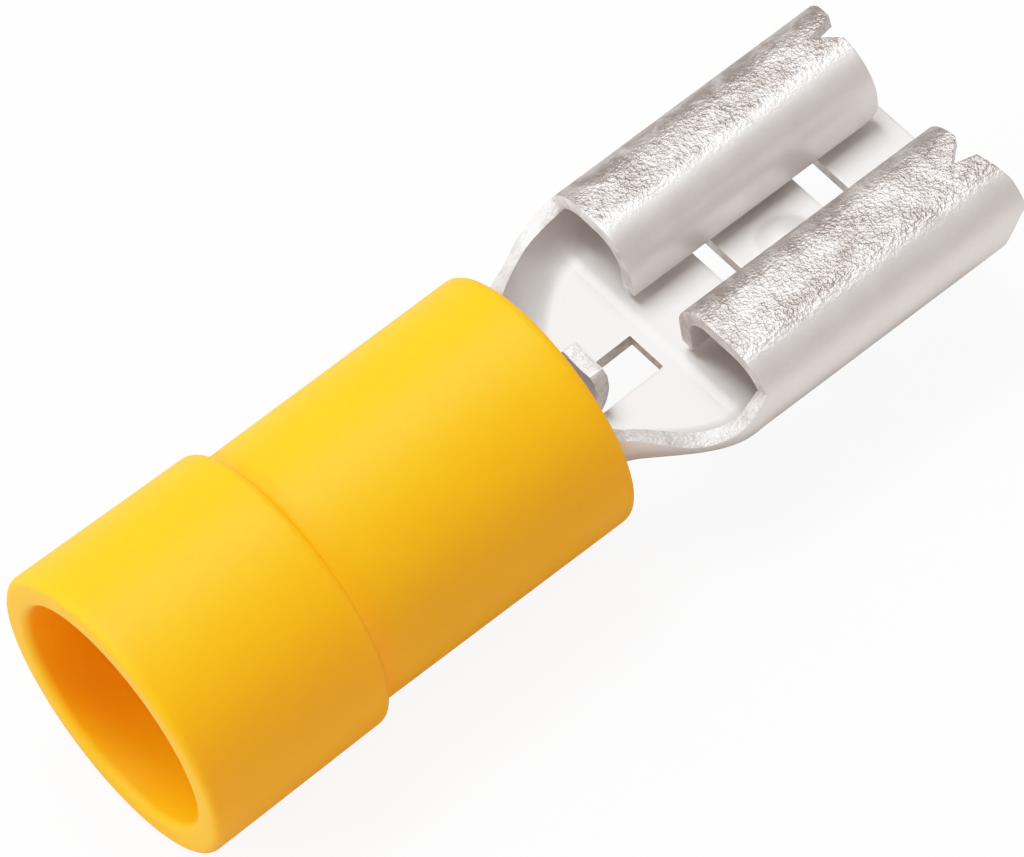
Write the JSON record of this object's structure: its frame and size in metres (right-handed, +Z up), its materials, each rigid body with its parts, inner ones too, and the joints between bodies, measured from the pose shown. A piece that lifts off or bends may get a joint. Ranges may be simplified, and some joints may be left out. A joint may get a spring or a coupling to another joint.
{
  "type": "female spade terminal",
  "caption": "Insulated push-on female spade terminal: a rolled sheet-metal receptacle for a flat tab, with a crimp barrel inside a stepped yellow insulating sleeve.",
  "frame": {"origin": "middle of the crimp barrel, on its axis", "axes": "+X along the barrel from the wire's end to the tab's end, +Z up out of the open side of the receptacle"},
  "size_m": [0.0251, 0.0082, 0.008],
  "materials": {
    "tinned_brass": "tin plated, satin, with a rough crystalline bloom on the rolled crowns",
    "copper": "plain drawn copper tube",
    "yellow_pvc": "soft satin moulded vinyl, slightly translucent"
  },
  "bodies": {
    "root": {"terminal": "tinned_brass", "support_sleeve": "copper", "insulating_sleeve": "yellow_pvc"}
  },
  "joints": []
}
